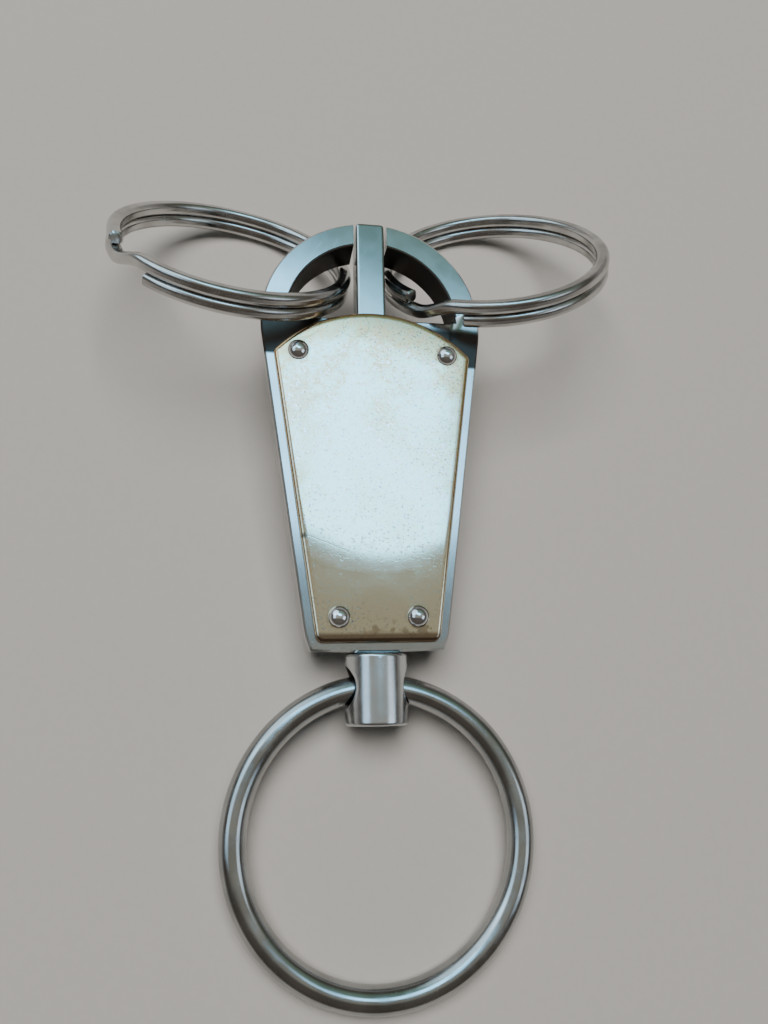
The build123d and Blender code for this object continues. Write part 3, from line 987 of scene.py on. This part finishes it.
# %% [markdown]
# ## The room and its window
# Polished steel has hardly any colour of its own: it shows the room. So the
# room is drawn with care, as tones by direction. A flat face that lies level
# sends each of its points to its own direction, sideways over upwards and
# forwards over upwards, and in those two numbers a window beyond the arch is
# a simple shape: a gently curved near edge, which draws the soft curved line
# across the plate, a far edge that fades out towards the top of the arch,
# and a fall of brightness from left to right. The rest is dim: neutral
# overhead, grey-green beyond the window, warm and dark lower down, and a
# plain pale grey wall all round at the horizon. One soft bright patch stands
# high beyond the arch, to the left.

# %% Room
overhead, beyond_window, lower_down = (0.37, 0.365, 0.32), (0.23, 0.35, 0.28), (0.12, 0.105, 0.09)
dim_warmth, horizon = (0.09, 0.078, 0.065), (0.30, 0.295, 0.285)
bright_patch, patch_way = (1.3, 1.8, 2.1), (-0.50, 0.62, 0.60)
window_glow = (1.2, 3.2, 4.9)
room = Finish(bpy.data.worlds.new("room"))
ray = room.node("TexCoord", {}, {}, out="Generated")
turned_back = {"Vector": ray, "Rotation": (-lean, 0, 0)}
level_ray = room.node("Mapping", {"vector_type": "POINT"}, turned_back)
ray_x, ray_y, ray_z = parts_of(room, level_ray)
upward = ray_z.maths("MAXIMUM", ray_z, 0.02)
sideways, forwards = ray_x / upward, ray_y / upward
bow = sideways - 0.17
pane = step_up(room, forwards - bow * bow * 1.3, 0.166, 0.174)
far_edge = forwards + (sideways - 0.15) * 0.26
pane = pane * (1 - step_up(room, far_edge, 0.475, 0.605))
pane = pane * (1 - step_up(room, sideways, 0.45, 0.75)) * step_up(room, sideways, -0.75, -0.45)
left_to_right = 1.25 - step_up(room, sideways, 0.0, 0.24) * 0.3
left_to_right = left_to_right - step_up(room, sideways, 0.25, 0.35) * 0.7
tone = blend(room, step_up(room, forwards, 0.35, 0.6), overhead, beyond_window)
tone = blend(room, step_up(room, forwards, -0.07, -0.4), tone, lower_down)
tone = blend(room, step_up(room, ray_z, 0.78, 0.3), tone, dim_warmth)
tone = blend(room, step_up(room, ray_z, 0.3, 0.1), tone, horizon)
facing = room.node("VectorMath", {"operation": "DOT_PRODUCT"},
                   {0: level_ray, 1: patch_way}, out="Value")
tone = blend(room, step_up(room, facing, 0.86, 0.97), tone, bright_patch)
glow = blend(room, pane * left_to_right, (0, 0, 0), window_glow)
added = {"data_type": "RGBA", "blend_type": "ADD"}
sky = room.node("Mix", added, {0: 1.0, 6: tone, 7: glow}, out=2)
backdrop = next(n for n in room.tree.nodes if n.type == "BACKGROUND")
room.feed(backdrop.inputs["Color"], sky)
bpy.context.scene.world = room.holder
room.holder.cycles_visibility.diffuse = False
print("room drawn with", len(room.tree.nodes), "nodes")

# %% [markdown]
# ## Lights
# Two soft panels stand high at the sides. The turned barrel and the round
# wires show them as long soft bands. A third, wide one lights only what is
# matt, that is the floor: gloss doesn't see it, so it adds no band of its own.

# %% Lights
light_target = Vector((0, -0.02, 0.01))


def soft_light(name, place, size, shade, radiance, glossy=True):
    """An area light of a given radiance: power is pi x area x radiance."""
    data = bpy.data.lights.new(name, "AREA")
    data.shape, data.size, data.size_y = "RECTANGLE", size[0], size[1]
    data.energy = math.pi * size[0] * size[1] * radiance
    data.color = shade
    light = bpy.data.objects.new(name, data)
    light.location = place
    toward = light_target - Vector(place)
    light.rotation_euler = toward.to_track_quat("-Z", "Y").to_euler()
    light.visible_glossy, light.visible_diffuse = glossy, not glossy
    bpy.context.scene.collection.objects.link(light)
    print(name, round(data.energy, 3), "W")


soft_light("left_panel", (-0.417, 0.04, 0.43), (0.44, 0.26), (0.6, 1.0, 1.4), 1.05)
soft_light("right_panel", (0.44, -0.16, 0.41), (0.29, 0.26), (0.75, 1.0, 1.25), 1.2)
soft_light("floor_fill", (-0.1, 0.25, 0.9), (0.8, 0.6), (1.0, 0.98, 0.95), 5.2, glossy=False)
